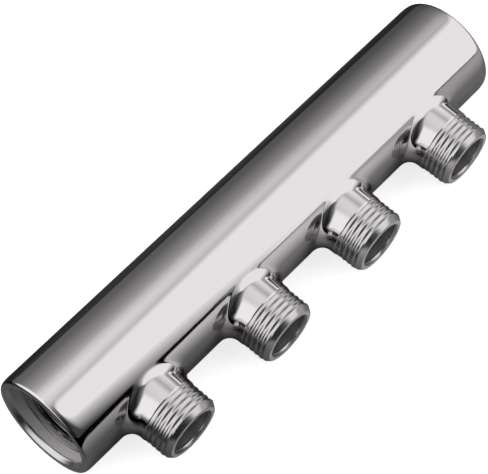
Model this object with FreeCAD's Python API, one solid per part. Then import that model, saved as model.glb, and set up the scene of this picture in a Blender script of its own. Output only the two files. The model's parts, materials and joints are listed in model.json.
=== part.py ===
import FreeCAD, Part
import math
import os

# Pipe manifold, in millimetres: one polished casting, with a straight round trunk that is open and
# threaded inside at both ends, and a row of male-threaded outlets along one side.
# It is modelled as it lies at rest. The trunk runs along X, and the outlets point to -Y and dip until
# their noses touch the ground. The origin is on the ground, below the middle of the bounding box.

# Trunk ends, each a 3/4 inch parallel pipe thread modelled at the diameter of its crests
END_THREAD_DIAMETER = 24.117
END_THREAD_LENGTH = 12.0
PASSAGE_STEP = 0.3  # the passage between the two end threads is this much smaller in radius
SEAT_RELIEF = 1.94  # from the thread's crests out to the wall of the smooth seat ahead of it
SEAT_DEPTH = 5.0  # end face to the foot of the seat's wall
LEAD_IN = 1.0  # length of the cone from the foot of the seat's wall in to the thread
SEAT_WALL = 3.5  # metal left in the trunk round the seat
MOUTH_FLARE = 1.0  # how far the seat's wall flares out at the end face
MOUTH_FLARE_DEPTH = 1.3
END_CHAMFER = 0.7

# Outlets, each a 1/2 inch parallel pipe thread modelled at the diameter of its crests
OUTLET_COUNT = 4
OUTLET_PITCH = 42.0
END_DISTANCE = 28.0  # end face to the axis of the nearest outlet
OUTLET_THREAD_DIAMETER = 20.955
OUTLET_THREAD_LENGTH = 9.3  # nose to neck
OUTLET_NECK_LENGTH = 5.0  # side of the trunk to the start of the thread
OUTLET_NECK_STEP = 0.2  # how far the plain neck stands proud of the thread's crests
OUTLET_BORE_DIAMETER = 14.2
NOSE_CHAMFER_WIDTH = 1.2
NOSE_CHAMFER_LENGTH = 1.6
BORE_CHAMFER = 0.6
NECK_FILLET = 4.0

# An edge break takes at most this share of the wall that it is cut from
OUTER_EDGE_SHARE = 0.6
INNER_EDGE_SHARE = 0.35
FILLET_SHARE = 0.8

end_thread_radius = END_THREAD_DIAMETER / 2
passage_radius = end_thread_radius - PASSAGE_STEP
seat_radius = end_thread_radius + SEAT_RELIEF
trunk_radius = seat_radius + SEAT_WALL
trunk_length = (OUTLET_COUNT - 1) * OUTLET_PITCH + 2 * END_DISTANCE
end_chamfer = min(END_CHAMFER, OUTER_EDGE_SHARE * SEAT_WALL)
mouth_flare = min(MOUTH_FLARE, INNER_EDGE_SHARE * SEAT_WALL)

outlet_thread_radius = OUTLET_THREAD_DIAMETER / 2
outlet_bore_radius = OUTLET_BORE_DIAMETER / 2
outlet_wall = outlet_thread_radius - outlet_bore_radius
neck_radius = outlet_thread_radius + OUTLET_NECK_STEP
neck_end = trunk_radius + OUTLET_NECK_LENGTH
outlet_reach = neck_end + OUTLET_THREAD_LENGTH
nose_chamfer = min(NOSE_CHAMFER_WIDTH, OUTER_EDGE_SHARE * outlet_wall)
bore_chamfer = min(BORE_CHAMFER, INNER_EDGE_SHARE * outlet_wall)
neck_fillet = min(NECK_FILLET, FILLET_SHARE * OUTLET_NECK_LENGTH)
outlet_places = [(i - (OUTLET_COUNT - 1) / 2) * OUTLET_PITCH for i in range(OUTLET_COUNT)]

ALONG_TRUNK = FreeCAD.Vector(1, 0, 0)
ALONG_OUTLET = FreeCAD.Vector(0, -1, 0)
SIDE = FreeCAD.Vector(0, 0, 1)
TRUNK_MIDDLE = FreeCAD.Vector(0, 0, 0)
ON_SURFACE = 0.001  # how closely a point has to lie on a surface to count as on it


def turned(corners, base, direction):
    """Solid of revolution about a line through base, from corners (distance along it, radius)."""
    points = [base + direction * along + SIDE * radius for along, radius in corners]
    section = Part.Face(Part.makePolygon(points + points[:1]))
    return section.revolve(base, direction, 360)


def trunk_blank():
    """Solid round bar with chamfered end edges."""
    half = trunk_length / 2
    corners = [
        (-half, 0),
        (-half, trunk_radius - end_chamfer),
        (-half + end_chamfer, trunk_radius),
        (half - end_chamfer, trunk_radius),
        (half, trunk_radius - end_chamfer),
        (half, 0),
    ]
    return turned(corners, TRUNK_MIDDLE, ALONG_TRUNK)


def outlet_blank(place):
    """Solid outlet from the trunk's axis to its nose: plain neck, thread, chamfered end."""
    thread_end = outlet_reach - NOSE_CHAMFER_LENGTH
    corners = [
        (0, 0),
        (0, neck_radius),
        (neck_end - OUTLET_NECK_STEP, neck_radius),
        (neck_end, outlet_thread_radius),
        (thread_end, outlet_thread_radius),
        (outlet_reach, outlet_thread_radius - nose_chamfer),
        (outlet_reach, 0),
    ]
    return turned(corners, ALONG_TRUNK * place, ALONG_OUTLET)


def trunk_waterway():
    """What is bored out of the trunk: at each end a flared seat and a thread, and the passage between."""
    thread_start = SEAT_DEPTH + LEAD_IN
    thread_end = thread_start + END_THREAD_LENGTH
    steps = [
        (0, seat_radius + mouth_flare),
        (MOUTH_FLARE_DEPTH, seat_radius),
        (SEAT_DEPTH, seat_radius),
        (thread_start, end_thread_radius),
        (thread_end, end_thread_radius),
        (thread_end + PASSAGE_STEP, passage_radius),
    ]
    half = trunk_length / 2
    near_end = [(depth - half, radius) for depth, radius in steps]
    far_end = [(half - depth, radius) for depth, radius in reversed(steps)]
    corners = [(-half, 0)] + near_end + far_end + [(half, 0)]
    return turned(corners, TRUNK_MIDDLE, ALONG_TRUNK)


def outlet_waterway(place):
    """What is bored out of one outlet, from the trunk's axis to its chamfered mouth."""
    corners = [
        (0, 0),
        (0, outlet_bore_radius),
        (outlet_reach - bore_chamfer, outlet_bore_radius),
        (outlet_reach, outlet_bore_radius + bore_chamfer),
        (outlet_reach, 0),
    ]
    return turned(corners, ALONG_TRUNK * place, ALONG_OUTLET)


def is_neck_root(edge):
    """True for an edge where an outlet's neck meets the outside of the trunk."""
    point = edge.valueAt((edge.FirstParameter + edge.LastParameter) / 2)
    on_trunk = abs(math.hypot(point.y, point.z) - trunk_radius) < ON_SURFACE
    nearest = min(outlet_places, key=lambda place: abs(point.x - place))
    on_neck = abs(math.hypot(point.x - nearest, point.z) - neck_radius) < ON_SURFACE
    return on_trunk and on_neck


def rest_angle():
    """Dip of the outlets at which the trunk and the ends of the outlet threads touch the ground together."""
    ahead = outlet_reach - NOSE_CHAMFER_LENGTH
    corner = math.hypot(ahead, outlet_thread_radius)
    return math.asin(trunk_radius / corner) - math.atan2(outlet_thread_radius, ahead)


def laid_down(shape):
    """The shape turned to its rest, lifted onto the ground and centred over the origin."""
    dip = rest_angle()
    nose_radius = outlet_thread_radius - nose_chamfer
    front = outlet_reach * math.cos(dip) + nose_radius * math.sin(dip)
    resting = shape.copy()
    resting.rotate(TRUNK_MIDDLE, ALONG_TRUNK, math.degrees(dip))
    resting.translate(FreeCAD.Vector(0, (front - trunk_radius) / 2, trunk_radius))
    return resting


def manifold_body():
    """The whole casting, machined."""
    blank = trunk_blank().fuse([outlet_blank(place) for place in outlet_places])
    roots = [edge for edge in blank.Edges if is_neck_root(edge)]
    casting = blank.makeFillet(neck_fillet, roots)
    waterways = [trunk_waterway()] + [outlet_waterway(place) for place in outlet_places]
    return laid_down(casting.cut(waterways))


os.makedirs("parts", exist_ok=True)
body = manifold_body()
body.exportStep("parts/manifold_body.step")
print(
    f"manifold_body: valid {body.isValid()}, {len(body.Solids)} solid, {body.Volume / 1000:.1f} cm3, "
    f"dip {math.degrees(rest_angle()):.3f} degrees, box {body.BoundBox}"
)
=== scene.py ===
import bmesh
import bpy
import json
import math
import numpy as np
from mathutils import Matrix, Vector


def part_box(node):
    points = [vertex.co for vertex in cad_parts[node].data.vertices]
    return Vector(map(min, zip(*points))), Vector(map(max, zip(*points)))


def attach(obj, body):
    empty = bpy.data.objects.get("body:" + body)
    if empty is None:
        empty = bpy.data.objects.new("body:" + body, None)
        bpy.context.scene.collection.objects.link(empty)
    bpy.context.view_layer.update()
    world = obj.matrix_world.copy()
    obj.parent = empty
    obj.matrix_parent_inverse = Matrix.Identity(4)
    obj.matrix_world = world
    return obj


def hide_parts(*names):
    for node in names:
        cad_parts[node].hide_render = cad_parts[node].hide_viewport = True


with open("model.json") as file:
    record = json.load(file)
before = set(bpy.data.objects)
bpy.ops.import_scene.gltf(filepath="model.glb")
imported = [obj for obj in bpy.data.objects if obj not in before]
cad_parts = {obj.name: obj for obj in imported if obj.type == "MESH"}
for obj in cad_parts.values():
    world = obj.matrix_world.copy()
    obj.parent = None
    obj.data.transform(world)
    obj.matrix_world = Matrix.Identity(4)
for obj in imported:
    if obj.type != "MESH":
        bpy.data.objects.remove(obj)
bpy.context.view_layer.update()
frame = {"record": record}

# The look of a mirror-polished stainless steel pipe manifold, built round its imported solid.
# Lengths are in millimetres in the manifold's own axes, and become metres when the mesh is made:
# X along the trunk from its middle, -Y the way the outlets point, Z square to both.
MM = 0.001

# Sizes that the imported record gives
mounts = {mount["name"]: mount for mount in frame["record"]["mounts"]}
end_thread = mounts["right_end_thread"]
outlet_threads = [mount for name, mount in sorted(mounts.items()) if name.startswith("outlet_thread")]
outlet_bore = mounts["outlet_bore_1"]
box_low, box_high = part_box("manifold_body")

trunk_half = (box_high.x - box_low.x) / 2 / MM
trunk_axis = Vector((0, end_thread["pos_m"][1], end_thread["pos_m"][2]))
outlet_way = Vector(outlet_threads[0]["axis"])
dip = math.atan2(-outlet_way.z, -outlet_way.y)
outlet_places = [mount["pos_m"][0] / MM for mount in outlet_threads]
outlet_thread_middle = (Vector(outlet_threads[0]["pos_m"]) - trunk_axis).dot(outlet_way) / MM
outlet_thread_half = outlet_threads[0]["dims"]["length_mm"] / 2
outlet_crest = outlet_threads[0]["dims"]["r_mm"]
bore_radius = outlet_bore["dims"]["r_mm"]
end_crest = end_thread["dims"]["r_mm"]
end_thread_depth = trunk_half - abs(end_thread["pos_m"][0]) / MM
end_thread_half = end_thread["dims"]["length_mm"] / 2

# Sizes that only the solid holds
SEAT_RELIEF = 1.94
SEAT_DEPTH = 5.0
LEAD_IN = 1.0
SEAT_WALL = 3.5
MOUTH_FLARE = 1.0
MOUTH_FLARE_DEPTH = 1.3
END_CHAMFER = 0.7
PASSAGE_STEP = 0.3
NECK_STEP = 0.2
NECK_FILLET = 4.0
NOSE_CHAMFER_WIDTH = 1.2
NOSE_CHAMFER_LENGTH = 1.6
BORE_CHAMFER = 0.6

# Sizes that only the look has
END_ROLL = 3.0  # length over which polishing has rolled each end of the trunk off to its edge
END_RUN = 4.0  # length of the trunk that is built with each end
NECK_RUN = 0.8  # length of the neck that is built with its step down to the thread
FLARE_RUN = 0.4  # length of the seat that is built with the mouth's flare
SEAT_RUN = 0.3  # length of the seat that is built with the cone behind it
FACE_EDGE = 0.2  # width of the bright edges of an outlet's nose, beside its satin face

# How far the round of each small edge reaches along its sides
NECK_ROUND = 0.3
NOSE_ROUND = 0.15
NOSE_MOUTH_ROUND = 0.12
BORE_ROUND = 0.3
FACE_ROUND = 0.1
FLARE_ROUND = 0.35
SEAT_ROUND = 0.2

seat_radius = end_crest + SEAT_RELIEF
trunk_radius = seat_radius + SEAT_WALL
passage_radius = end_crest - PASSAGE_STEP
neck_radius = outlet_crest + NECK_STEP
neck_end = outlet_thread_middle - outlet_thread_half
chamfer_start = outlet_thread_middle + outlet_thread_half
reach = chamfer_start + NOSE_CHAMFER_LENGTH
passage_half = trunk_half - end_thread_depth - end_thread_half - PASSAGE_STEP

# Both pipe threads have 14 turns to the inch. The outlets' are shallow to the eye, with flat crests and
# roots. The ends' are cut to the full depth, with straight flanks and rounded crests and roots.
THREAD_PITCH = 25.4 / 14
OUTLET_THREAD_DEPTH = 0.16 * THREAD_PITCH
END_THREAD_DEPTH = 0.64 * THREAD_PITCH
THREAD_RUNOUT = 0.8 * THREAD_PITCH
# Along one turn, the share of the pitch and the share of the depth that is cut there
OUTLET_THREAD_FORM = [
    (0, 0), (0.1, 0), (0.14, 0.06), (0.36, 0.94), (0.4, 1), (0.6, 1), (0.64, 0.94), (0.86, 0.06), (0.9, 0),
]
END_THREAD_FORM = [
    (0, 0), (0.05, 0.015), (0.1, 0.06), (0.13, 0.15), (0.37, 0.85), (0.4, 0.94), (0.45, 0.985),
    (0.5, 1), (0.55, 0.985), (0.6, 0.94), (0.63, 0.85), (0.87, 0.15), (0.9, 0.06), (0.95, 0.015),
]

# How finely the surface is divided
SIDE_STEPS = 24  # along each side of the patch round an outlet
PATCH_ANGLE = math.radians(60)  # how far a patch reaches round the trunk to either side
PATCH_RINGS = 9
FILLET_STEPS = 9
BORE_STEPS = 6
SOFT_STEPS = 8  # along a softened corner
COLUMNS = 4 * SIDE_STEPS  # round an outlet
TRUNK_COLUMNS = round(SIDE_STEPS * math.pi / PATCH_ANGLE)  # round the trunk
WELD = 1e-6  # metres within which neighbouring points become one
SHARP_ANGLE = math.radians(42)  # a steeper turn between two faces stays an edge

# Finishes, in the order of the body's materials
POLISHED, MACHINED, TURNED, TAPPED, BORED = range(5)


class Skin:
    """Quads gathered patch by patch, with a finish for each."""

    def __init__(self):
        self.points = []
        self.quads = []
        self.finishes = []

    def add(self, grid, finish):
        """Adds the quads between neighbouring points of a grid of rows and columns."""
        rows, columns = grid.shape[:2]
        first = len(self.points)
        self.points.extend(grid.reshape(-1, 3))
        index = first + np.arange(rows * columns).reshape(rows, columns)
        corners = (index[:-1, :-1], index[:-1, 1:], index[1:, 1:], index[1:, :-1])
        self.quads.extend(np.stack(corners, -1).reshape(-1, 4).tolist())
        self.finishes.extend([finish] * ((rows - 1) * (columns - 1)))


def round_trunk(x, angle, radius):
    """Points at distance x along the trunk, at an angle from the outlets' side towards +Z."""
    x, angle, radius = np.broadcast_arrays(x, angle, radius)
    return np.stack((x, -radius * np.cos(angle), radius * np.sin(angle)), -1)


def round_outlet(place, along, angle, radius):
    """Points at a distance along an outlet from the trunk's axis, at an angle from +X towards +Z."""
    along, angle, radius = np.broadcast_arrays(along, angle, radius)
    return np.stack((place + radius * np.cos(angle), -along, radius * np.sin(angle)), -1)


def softened(corners):
    """Profile (distance, radius) with each inner corner (distance, radius, softness) rounded off.

    The softness is how far along each side the round reaches, as one length or two.
    """
    points = [corners[0][:2]]
    for before, corner, after in zip(corners, corners[1:], corners[2:]):
        here = np.array(corner[:2])
        away = [np.array(other[:2]) - here for other in (before, after)]
        reaches = np.broadcast_to(corner[2], 2)
        start, end = (here + far * arm / np.linalg.norm(arm) for far, arm in zip(reaches, away))
        for t in np.linspace(0, 1, SOFT_STEPS):
            points.append((1 - t) ** 2 * start + 2 * t * (1 - t) * here + t ** 2 * end)
    points.append(corners[-1][:2])
    return np.array(points)


def threaded(start, stop, columns, form, surface):
    """Rows of (distance, angle, radius) that follow a right-hand thread from start to stop.

    surface gives the radius for a distance and a depth share, 0 on a crest and 1 in a root.
    """
    turns = math.ceil((stop - start) / THREAD_PITCH) + 1
    rows = [(turn + along, cut) for turn in range(turns) for along, cut in form]
    row, share = np.array(rows + [(turns, 0)]).T[:, :, None]
    angle = np.linspace(0, 2 * math.pi, columns + 1)[None, :]
    distance = start + (row - 1 + angle / (2 * math.pi)) * THREAD_PITCH
    distance = np.clip(distance, start, stop)
    return distance, angle, surface(distance, share)


def runout(distance, end):
    """Share of the full depth that a thread has near the end where it fades out."""
    t = np.clip(abs(end - distance) / THREAD_RUNOUT, 0, 1)
    return t * t * (3 - 2 * t)


def patch(low, high, radius, rim_x, rim_angle):
    """The trunk's surface from the rim of an outlet's opening out to a rectangle round it."""
    side = np.linspace(-1, 1, SIDE_STEPS, endpoint=False)
    full = np.ones(SIDE_STEPS)
    across = np.concatenate((full, -side, -full, side, [1]))
    round_it = np.concatenate((side, full, -side, -full, [-1]))
    edge_x = (low + high) / 2 + across * (high - low) / 2
    edge_angle = round_it * PATCH_ANGLE
    share = np.linspace(0, 1, PATCH_RINGS + 1)[:, None]
    x = rim_x + share * (edge_x - rim_x)
    angle = rim_angle + share * (edge_angle - rim_angle)
    return round_trunk(x, angle, radius)


def rest_of_trunk(breaks, radius):
    """The trunk's surface on the side away from the outlets, divided to match the patches."""
    runs = [np.linspace(low, high, SIDE_STEPS + 1)[:-1] for low, high in zip(breaks, breaks[1:])]
    x = np.concatenate(runs + [[breaks[-1]]])[:, None]
    columns = TRUNK_COLUMNS - SIDE_STEPS + 1
    angle = np.linspace(PATCH_ANGLE, 2 * math.pi - PATCH_ANGLE, columns)[None, :]
    return round_trunk(x, angle, radius)


def fillet(angle):
    """Rows (across, side, along) of the round that a rolling ball leaves between neck and trunk."""
    ball = neck_radius + NECK_FILLET
    high = trunk_radius + NECK_FILLET
    nothing = np.zeros_like(angle)
    side = ball * np.sin(angle)
    along = np.sqrt(high ** 2 - side ** 2)
    centre = np.stack((ball * np.cos(angle), side, along), -1)
    to_neck = np.stack((-np.cos(angle), -np.sin(angle), nothing), -1)
    to_trunk = np.stack((nothing, -side / high, -along / high), -1)
    turn = np.arccos((to_neck * to_trunk).sum(-1))[:, None]
    share = np.linspace(0, 1, FILLET_STEPS + 1)[:, None, None]
    way = (np.sin((1 - share) * turn) * to_neck + np.sin(share * turn) * to_trunk) / np.sin(turn)
    return centre + NECK_FILLET * way


def nose_cone(distance):
    """Radius of the chamfer on an outlet's nose, and of its extension over the thread."""
    return outlet_crest - (distance - chamfer_start) * NOSE_CHAMFER_WIDTH / NOSE_CHAMFER_LENGTH


def lead_in(depth):
    """Radius of the cone from a trunk end's seat down to its thread."""
    return seat_radius - (depth - SEAT_DEPTH) * SEAT_RELIEF / LEAD_IN


def male_thread(distance, share):
    """Radius of an outlet's thread, which fades out at the neck and meets the nose's chamfer."""
    cut = OUTLET_THREAD_DEPTH * share * runout(distance, neck_end)
    return np.minimum(outlet_crest - cut, nose_cone(distance))


def female_thread(depth, share):
    """Radius of a trunk end's thread, which starts in the lead-in and fades out at the passage."""
    cut = END_THREAD_DEPTH * share * runout(depth, end_thread_depth + end_thread_half)
    return np.maximum(end_crest + cut, lead_in(depth))


def add_outlet(skin, place, outer, inner):
    """One outlet: its patch of trunk, fillet, neck, thread, nose, bore and patch of passage."""
    angle = np.linspace(0, 2 * math.pi, COLUMNS + 1) - math.pi / 4
    rows = fillet(angle)
    across, side, along = rows[-1].T
    skin.add(patch(*outer, trunk_radius, place + across, np.arctan2(side, along)), POLISHED)
    across, side, along = np.moveaxis(rows, -1, 0)
    skin.add(np.stack((place + across, -along, side), -1), POLISHED)

    neck = softened([
        (neck_end - NECK_RUN, neck_radius),
        (neck_end - NECK_STEP, neck_radius, NECK_ROUND),
        (neck_end, outlet_crest),
    ])
    start = rows[0, :, 2]
    distance = np.vstack([start] + [np.full_like(start, point[0]) for point in neck])
    radius = np.concatenate(([neck_radius], neck[:, 1]))[:, None]
    skin.add(round_outlet(place, distance, angle, radius), POLISHED)

    thread_end = chamfer_start + OUTLET_THREAD_DEPTH * NOSE_CHAMFER_LENGTH / NOSE_CHAMFER_WIDTH
    thread = threaded(neck_end, thread_end, COLUMNS, OUTLET_THREAD_FORM, male_thread)
    skin.add(round_outlet(place, *thread), MACHINED)

    face_outside = outlet_crest - NOSE_CHAMFER_WIDTH
    face_inside = bore_radius + BORE_CHAMFER
    chamfer = softened([
        (thread_end, nose_cone(thread_end)),
        (reach, face_outside, NOSE_ROUND),
        (reach, face_outside - FACE_EDGE),
    ])
    face = np.array([(reach, face_outside - FACE_EDGE), (reach, face_inside + FACE_EDGE)])
    mouth = softened([
        (reach, face_inside + FACE_EDGE),
        (reach, face_inside, NOSE_MOUTH_ROUND),
        (reach - BORE_CHAMFER, bore_radius, BORE_ROUND),
        (reach - 2 * BORE_CHAMFER, bore_radius),
    ])
    for profile, finish in ((chamfer, MACHINED), (face, TURNED), (mouth, MACHINED)):
        skin.add(round_outlet(place, profile[:, :1], angle, profile[:, 1:]), finish)

    hole_side = bore_radius * np.sin(angle)
    hole_along = np.sqrt(passage_radius ** 2 - hole_side ** 2)
    share = np.linspace(0, 1, BORE_STEPS + 1)[:, None]
    distance = mouth[-1, 0] + share * (hole_along - mouth[-1, 0])
    skin.add(round_outlet(place, distance, angle, bore_radius), BORED)
    rim_x = place + bore_radius * np.cos(angle)
    skin.add(patch(*inner, passage_radius, rim_x, np.arctan2(hole_side, hole_along)), BORED)


def add_trunk_end(skin, hand):
    """One end of the trunk, hand -1 or 1: rolled edge, face, flared mouth, seat, cone and thread."""
    angle = hand * np.linspace(0, 2 * math.pi, TRUNK_COLUMNS + 1)

    def at(depth, angle, radius):
        """Points at a depth from the end face."""
        return round_trunk(hand * (trunk_half - depth), angle, radius)

    middle_of_face = (seat_radius + MOUTH_FLARE + trunk_radius - END_CHAMFER) / 2
    edge = softened([
        (END_RUN, trunk_radius),
        (0, trunk_radius, (END_ROLL, END_CHAMFER)),
        (0, middle_of_face),
    ])
    seat_start = MOUTH_FLARE_DEPTH + FLARE_RUN
    seat_end = SEAT_DEPTH - SEAT_RUN
    thread_start = SEAT_DEPTH + LEAD_IN * (1 - END_THREAD_DEPTH / SEAT_RELIEF)
    thread_end = end_thread_depth + end_thread_half
    mouth = softened([
        (0, middle_of_face),
        (0, seat_radius + MOUTH_FLARE, FACE_ROUND),
        (MOUTH_FLARE_DEPTH, seat_radius, FLARE_ROUND),
        (seat_start, seat_radius),
    ])
    seat = np.array([(seat_start, seat_radius), (seat_end, seat_radius)])
    cone = softened([
        (seat_end, seat_radius),
        (SEAT_DEPTH, seat_radius, SEAT_ROUND),
        (thread_start, lead_in(thread_start)),
    ])
    step = np.array([(thread_end, end_crest), (thread_end + PASSAGE_STEP, passage_radius)])
    profiles = ((edge, POLISHED), (mouth, MACHINED), (seat, TURNED), (cone, TAPPED), (step, BORED))
    for profile, finish in profiles:
        skin.add(at(profile[:, :1], angle, profile[:, 1:]), finish)
    depth, turn, radius = threaded(thread_start, thread_end, TRUNK_COLUMNS, END_THREAD_FORM, female_thread)
    skin.add(at(depth, hand * turn, radius), TAPPED)


def manifold_skin():
    """All the manifold's surface, inside and out."""
    skin = Skin()
    between = [(a + b) / 2 for a, b in zip(outlet_places, outlet_places[1:])]
    outer = [END_RUN - trunk_half] + between + [trunk_half - END_RUN]
    inner = [-passage_half] + between + [passage_half]
    for i, place in enumerate(outlet_places):
        add_outlet(skin, place, outer[i:i + 2], inner[i:i + 2])
    skin.add(rest_of_trunk(outer, trunk_radius), POLISHED)
    skin.add(rest_of_trunk(inner, passage_radius), BORED)
    add_trunk_end(skin, -1)
    add_trunk_end(skin, 1)
    return skin


def add_node(tree, kind, inputs=(), **settings):
    """Adds a node, sets its properties, and sets or links its inputs."""
    node = tree.nodes.new(kind)
    for name, value in settings.items():
        setattr(node, name, value)
    for name, value in dict(inputs).items():
        if isinstance(value, bpy.types.NodeSocket):
            tree.links.new(value, node.inputs[name])
        else:
            node.inputs[name].default_value = value
    return node


def colour(code):
    """Linear colour, with alpha, from an sRGB hex code."""
    parts = [int(code[i:i + 2], 16) / 255 for i in (1, 3, 5)]
    return [p / 12.92 if p <= 0.04045 else ((p + 0.055) / 1.055) ** 2.4 for p in parts] + [1]


def set_stops(ramp, stops):
    """Gives a colour ramp its stops (position, grey level)."""
    elements = ramp.color_ramp.elements
    while len(elements) < len(stops):
        elements.new(0.5)
    for element, (position, level) in zip(elements, stops):
        element.position = position
        element.color = (level, level, level, 1)


def inside(tree, vector, edges):
    """How far a direction or a place is inside a set of planes, from 0 to 1.

    Each edge is a plane's normal and the two distances along it at which the share is 0 and 1.
    """
    share = 1
    for normal, start, full in edges:
        along = add_node(tree, "ShaderNodeVectorMath", {0: vector, 1: normal}, operation="DOT_PRODUCT")
        limits = {"Value": along.outputs["Value"], "From Min": start, "From Max": full}
        within = add_node(tree, "ShaderNodeMapRange", limits)
        both = add_node(tree, "ShaderNodeMath", {0: within.outputs[0], 1: share}, operation="MULTIPLY")
        share = both.outputs[0]
    return share


def stage_material(name):
    """A new material that has only its output, and its node tree."""
    material = bpy.data.materials.new(name)
    material.use_nodes = True
    tree = material.node_tree
    tree.nodes.remove(tree.nodes["Principled BSDF"])
    return material, tree


def add_sheet(name, low, high, material):
    """A flat sheet of the stage between two opposite corners, in metres, lying or standing along X."""
    corners = [low, (high[0], *low[1:]), high, (low[0], *high[1:])]
    mesh = bpy.data.meshes.new(name)
    mesh.from_pydata(corners, [], [(0, 1, 2, 3)])
    mesh.materials.append(material)
    sheet = bpy.data.objects.new(name, mesh)
    bpy.context.collection.objects.link(sheet)
    return sheet


def steel(name, code, roughness, wave_size, wave_height):
    """Bare stainless steel with a faint unevenness, whose width and height are in millimetres."""
    material = bpy.data.materials.new(name)
    material.use_nodes = True
    tree = material.node_tree
    shader = tree.nodes["Principled BSDF"]
    shader.inputs["Base Color"].default_value = colour(code)
    shader.inputs["Metallic"].default_value = 1
    shader.inputs["Roughness"].default_value = roughness
    place = add_node(tree, "ShaderNodeTexCoord").outputs["Object"]
    scale = 1 / (wave_size * MM)
    waves = add_node(tree, "ShaderNodeTexNoise", {"Vector": place, "Scale": scale, "Detail": 1})
    bump = add_node(tree, "ShaderNodeBump", {"Height": waves.outputs["Fac"], "Distance": wave_height * MM})
    tree.links.new(bump.outputs["Normal"], shader.inputs["Normal"])
    return material


# Mirror polish: shows the studio sharply, a little swayed by the casting underneath
polished = steel("stainless_steel_mirror_polished", "#ddd9da", roughness=0.07, wave_size=18, wave_height=0.02)
# Machined threads, noses and mouths: bright, with the tool's fine drag lines blurring what they show
machined = steel("stainless_steel_machined", "#d2cfd0", roughness=0.24, wave_size=3, wave_height=0.004)
# Turned seats and nose faces: satin from the lathe tool, with a base colour paler than bare steel as painted
# light that brightens them
turned = steel("stainless_steel_turned", "#f4f2f2", roughness=0.85, wave_size=1.0, wave_height=0.01)
# Bored waterways: dull from the drill and left unpolished
bored = steel("stainless_steel_bored", "#ddd9da", roughness=0.36, wave_size=0.9, wave_height=0.01)
# Tapped end threads and their lead-in: base colour darkened as painted shade of the deep mouth, with a thin
# glint on each crest
tapped = steel("stainless_steel_tapped_thread", "#a8a6a6", roughness=0.1, wave_size=3, wave_height=0.002)

laid_down = Matrix.Translation(trunk_axis) @ Matrix.Rotation(dip, 4, "X")


def make_body():
    """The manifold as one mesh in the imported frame."""
    skin = manifold_skin()
    mesh = bpy.data.meshes.new("manifold_body_steel")
    mesh.from_pydata([tuple(point) for point in np.array(skin.points) * MM], [], skin.quads)
    for finish in (polished, machined, turned, tapped, bored):
        mesh.materials.append(finish)
    mesh.polygons.foreach_set("material_index", skin.finishes)
    shape = bmesh.new()
    shape.from_mesh(mesh)
    bmesh.ops.remove_doubles(shape, verts=shape.verts, dist=WELD)
    bmesh.ops.recalc_face_normals(shape, faces=shape.faces)
    shape.transform(laid_down)
    shape.to_mesh(mesh)
    shape.free()
    mesh.shade_smooth()
    mesh.set_sharp_from_angle(angle=SHARP_ANGLE)
    body = bpy.data.objects.new("manifold_body_steel", mesh)
    bpy.context.collection.objects.link(body)
    return body


body = make_body()
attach(body, "root")
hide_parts("manifold_body")

# Floor: plain pale board, white to the eye, with the manifold's soft shadow on it
FLOOR_HALF = 3.0
FLOOR_GLOW = 0.78
board, tree = stage_material("floor_pale_board")
rays = add_node(tree, "ShaderNodeLightPath").outputs
straight = {0: rays["Is Camera Ray"], 1: rays["Is Transmission Ray"]}
seen = add_node(tree, "ShaderNodeMath", straight, operation="MAXIMUM")
seen = add_node(tree, "ShaderNodeMath", {0: seen.outputs[0], 1: rays["Is Glossy Ray"]}, operation="MAXIMUM")
glow = add_node(tree, "ShaderNodeMath", {0: seen.outputs[0], 1: FLOOR_GLOW}, operation="MULTIPLY")
glow = add_node(tree, "ShaderNodeEmission", {"Strength": glow.outputs[0]})
paint = add_node(tree, "ShaderNodeBsdfDiffuse", {"Color": colour("#f4f4f4")})
both = add_node(tree, "ShaderNodeAddShader", {0: glow.outputs[0], 1: paint.outputs[0]})
tree.links.new(both.outputs[0], tree.nodes["Material Output"].inputs["Surface"])
add_sheet("floor", (-FLOOR_HALF, -FLOOR_HALF, 0), (FLOOR_HALF, FLOOR_HALF, 0), board)

# Studio: a soft grey sky, brightest overhead, with a dark flag to the front left and three soft white
# panels: a large one in front on the right, one on the left and a strip at the far right.
# The sky's level goes by degrees from overhead, positive to the front, and its share at the sides by how far
# to the right the light comes from.
SKY = [
    (-90, 0.14), (-70, 0.17), (-50, 0.3), (-40, 0.38), (-30, 0.52), (-20, 0.8), (-8, 1.0), (0, 0.9),
    (8, 0.75), (20, 0.24), (40, 0.18), (60, 0.11), (75, 0.13), (90, 0.06),
]
SKY_SIDES = [(-0.4, 0.85), (0, 1.0), (0.3, 1.0), (0.55, 0.57)]
# The flag, and each panel after its level, are bounded by planes through the manifold
FLAG_LEVEL = 0.2  # share of the sky that the flag lets through
FLAG_EDGES = [((-1, 0, 0), -0.1, 0), ((0, -0.914, -0.407), 0, 0.44)]
PANELS = [
    (1.08, [((1, 0, 0), 0, 0.06), ((-0.5, -0.35, 0.79), -0.27, -0.02), ((0.6, -0.8, 0), 0.15, 0.42)]),
    (1.15, [((-1, 0, 0), 0, 0.15), ((0, 0, 1), 0.1, 0.3), ((0, 0.8, -0.6), -0.75, -0.5)]),
    (1.1, [
        ((1, 0, 0), 0.86, 0.9), ((0, 0, 1), 0.15, 0.18), ((0, 0, -1), -0.3, -0.27), ((0, 1, 0), -0.1, 0),
    ]),
]

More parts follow.
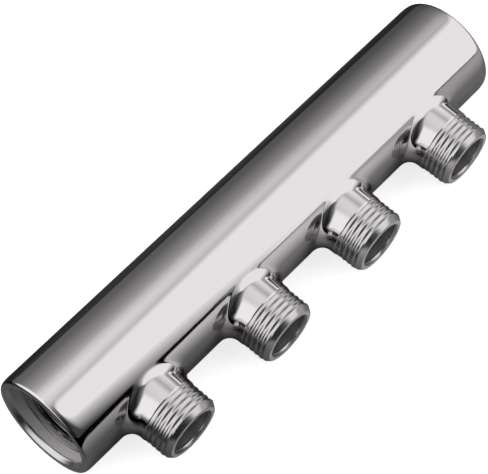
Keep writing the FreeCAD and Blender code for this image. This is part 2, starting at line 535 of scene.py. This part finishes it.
studio = bpy.data.worlds.new("studio")
bpy.context.scene.world = studio
studio.use_nodes = True
tree = studio.node_tree
way = add_node(tree, "ShaderNodeTexCoord").outputs["Generated"]
axes = add_node(tree, "ShaderNodeSeparateXYZ", {"Vector": way}).outputs
front = add_node(tree, "ShaderNodeMath", {0: axes["Y"], 1: -1}, operation="MULTIPLY")
turn = add_node(tree, "ShaderNodeMath", {0: front.outputs[0], 1: axes["Z"]}, operation="ARCTAN2")
half_turn = {"Value": turn.outputs[0], "From Min": -math.pi / 2, "From Max": math.pi / 2}
turn = add_node(tree, "ShaderNodeMapRange", half_turn)
sky = add_node(tree, "ShaderNodeValToRGB", {"Fac": turn.outputs[0]})
set_stops(sky, [(0.5 + degrees / 180, level) for degrees, level in SKY])
side = add_node(tree, "ShaderNodeMapRange", {"Value": axes["X"], "From Min": -1})
side = add_node(tree, "ShaderNodeValToRGB", {"Fac": side.outputs[0]})
set_stops(side, [(0.5 + x / 2, level) for x, level in SKY_SIDES])
shaded = {0: sky.outputs["Color"], 1: side.outputs["Color"]}
light = add_node(tree, "ShaderNodeMath", shaded, operation="MULTIPLY")
flagged = {"Value": inside(tree, way, FLAG_EDGES), "To Min": 1, "To Max": FLAG_LEVEL}
flag = add_node(tree, "ShaderNodeMapRange", flagged)
light = add_node(tree, "ShaderNodeMath", {0: light.outputs[0], 1: flag.outputs[0]}, operation="MULTIPLY")
for level, edges in PANELS:
    panel = add_node(tree, "ShaderNodeMath", {0: inside(tree, way, edges), 1: level}, operation="MULTIPLY")
    light = add_node(tree, "ShaderNodeMath", {0: light.outputs[0], 1: panel.outputs[0]}, operation="MAXIMUM")
tree.links.new(light.outputs[0], tree.nodes["Background"].inputs["Color"])

# Grey card on the floor, which the camera doesn't see and the steel does: pale in front of the manifold,
# black behind it and beyond a slanted edge at the front left. Its grey is painted shadow of the manifold: it
# darkens towards the outlets and goes black behind the manifold, and a painted pool of light makes it
# brightest in the middle. Its shades go from front to back, and their shares from left to right, both by
# metres.
CARD_LEFT, CARD_RIGHT, CARD_FRONT, CARD_BACK, CARD_HEIGHT = -3.0, 3.0, -2.5, 3.0, 0.0001
# Painted shadow: the card darkens towards the outlets, where the manifold's shadow falls, and is nearly black
# behind it
CARD_PAINTED_SHADOW = [
    (-0.2, 0.95), (-0.09, 0.92), (-0.058, 0.75), (-0.042, 0.58), (-0.026, 0.3),
    (-0.012, 0.15), (0, 0.7), (0.03, 0.6), (0.06, 0.06), (1.5, 0.06),
]
# Painted light and shade: the card is brightest in the middle, in front of the outlets, and dimmer towards
# both ends
CARD_PAINTED_LIGHT = [
    (-0.3, 0.05), (-0.12, 0.05), (-0.105, 0.5), (-0.06, 0.5), (-0.02, 0.85),
    (0, 1), (0.07, 1), (0.12, 0.65), (0.5, 0.5),
]
CARD_EDGES = [((0.7, 0.714, 0), -0.118, -0.11)]
grey, tree = stage_material("card_grey")
place = add_node(tree, "ShaderNodeTexCoord").outputs["Object"]
axes = add_node(tree, "ShaderNodeSeparateXYZ", {"Vector": place}).outputs
shade = inside(tree, place, CARD_EDGES)
card_runs = (
    (axes["X"], CARD_LEFT, CARD_RIGHT, CARD_PAINTED_LIGHT),
    (axes["Y"], CARD_FRONT, CARD_BACK, CARD_PAINTED_SHADOW),
)
for metres, low, high, shades in card_runs:
    run = add_node(tree, "ShaderNodeMapRange", {"Value": metres, "From Min": low, "From Max": high})
    ramp = add_node(tree, "ShaderNodeValToRGB", {"Fac": run.outputs[0]})
    set_stops(ramp, [((stop - low) / (high - low), level) for stop, level in shades])
    both = add_node(tree, "ShaderNodeMath", {0: ramp.outputs["Color"], 1: shade}, operation="MULTIPLY")
    shade = both.outputs[0]
paint = add_node(tree, "ShaderNodeBsdfDiffuse", {"Color": shade})
tree.links.new(paint.outputs[0], tree.nodes["Material Output"].inputs["Surface"])
card = add_sheet("card", (CARD_LEFT, CARD_FRONT, CARD_HEIGHT), (CARD_RIGHT, CARD_BACK, CARD_HEIGHT), grey)

# Low white reflector standing in front of the outlets, which fades in from its left end
REFLECTOR_LEFT, REFLECTOR_FULL, REFLECTOR_RIGHT = 0.06, 0.1, 0.2
REFLECTOR_BOTTOM, REFLECTOR_TOP, REFLECTOR_PLACE = 0.01, 0.03, -0.24
REFLECTOR_LEVEL = 1.05
white, tree = stage_material("reflector_white")
place = add_node(tree, "ShaderNodeTexCoord").outputs["Object"]
across = add_node(tree, "ShaderNodeSeparateXYZ", {"Vector": place}).outputs["X"]
fade = {"Value": across, "From Min": REFLECTOR_LEFT, "From Max": REFLECTOR_FULL, "To Max": REFLECTOR_LEVEL}
strength = add_node(tree, "ShaderNodeMapRange", fade)
glow = add_node(tree, "ShaderNodeEmission", {"Strength": strength.outputs[0]})
tree.links.new(glow.outputs[0], tree.nodes["Material Output"].inputs["Surface"])
reflector_low = (REFLECTOR_LEFT, REFLECTOR_PLACE, REFLECTOR_BOTTOM)
reflector_high = (REFLECTOR_RIGHT, REFLECTOR_PLACE, REFLECTOR_TOP)
reflector = add_sheet("reflector", reflector_low, reflector_high, white)

# Dark screen further off in front, with a soft leaning edge that cuts off the left of the panel there
SCREEN_LEFT, SCREEN_RIGHT, SCREEN_TOP, SCREEN_PLACE = -0.12, 0.36, 1.4, -0.7
SCREEN_EDGES = [((-0.946, 0, -0.324), -0.335, -0.136)]
SCREEN_LEVEL = 0.06
dark, tree = stage_material("screen_dark")
place = add_node(tree, "ShaderNodeTexCoord").outputs["Object"]
clear = add_node(tree, "ShaderNodeBsdfTransparent").outputs[0]
glow = add_node(tree, "ShaderNodeEmission", {"Strength": SCREEN_LEVEL}).outputs[0]
both = add_node(tree, "ShaderNodeMixShader", {0: inside(tree, place, SCREEN_EDGES), 1: clear, 2: glow})
tree.links.new(both.outputs[0], tree.nodes["Material Output"].inputs["Surface"])
screen = add_sheet("screen", (SCREEN_LEFT, SCREEN_PLACE, 0), (SCREEN_RIGHT, SCREEN_PLACE, SCREEN_TOP), dark)

# These three are only there to be mirrored in the steel
for sheet in (card, reflector, screen):
    sheet.visible_camera = False
    sheet.visible_diffuse = False
    sheet.visible_shadow = False
    sheet.visible_transmission = False

# Camera: where the photo was taken from, in the manifold's own axes and in millimetres, with the
# focal length and the frame in pixels
FRAME_WIDTH = 488
FOCAL_LENGTH = 2027.73
SENSOR_WIDTH = 36
CLIP_START = 0.01  # metres
VIEW = (-0.4062, -0.2965)  # the X and Y of the direction from the manifold to the camera
ROLL = 0.7611  # radians
DISTANCE = 607.919
TARGET = (-5.2076, 0.0611, 0)
view = Vector((*VIEW, math.sqrt(1 - VIEW[0] ** 2 - VIEW[1] ** 2)))
level_way = Vector((1, 0, 0)) - view * view.x
level_way.normalize()
upright = view.cross(level_way)
right = math.cos(ROLL) * level_way - math.sin(ROLL) * upright
up = math.sin(ROLL) * level_way + math.cos(ROLL) * upright
eye = (Vector(TARGET) + view * DISTANCE) * MM
lens = bpy.data.cameras.new("camera")
lens.sensor_width = SENSOR_WIDTH
lens.lens = FOCAL_LENGTH / FRAME_WIDTH * SENSOR_WIDTH
lens.clip_start = CLIP_START
camera = bpy.data.objects.new("camera", lens)
bpy.context.collection.objects.link(camera)
turned_to = Matrix((right, up, view)).transposed().to_4x4()
camera.matrix_world = laid_down @ Matrix.Translation(eye) @ turned_to
bpy.context.scene.camera = camera

bpy.context.scene.view_settings.view_transform = "Standard"
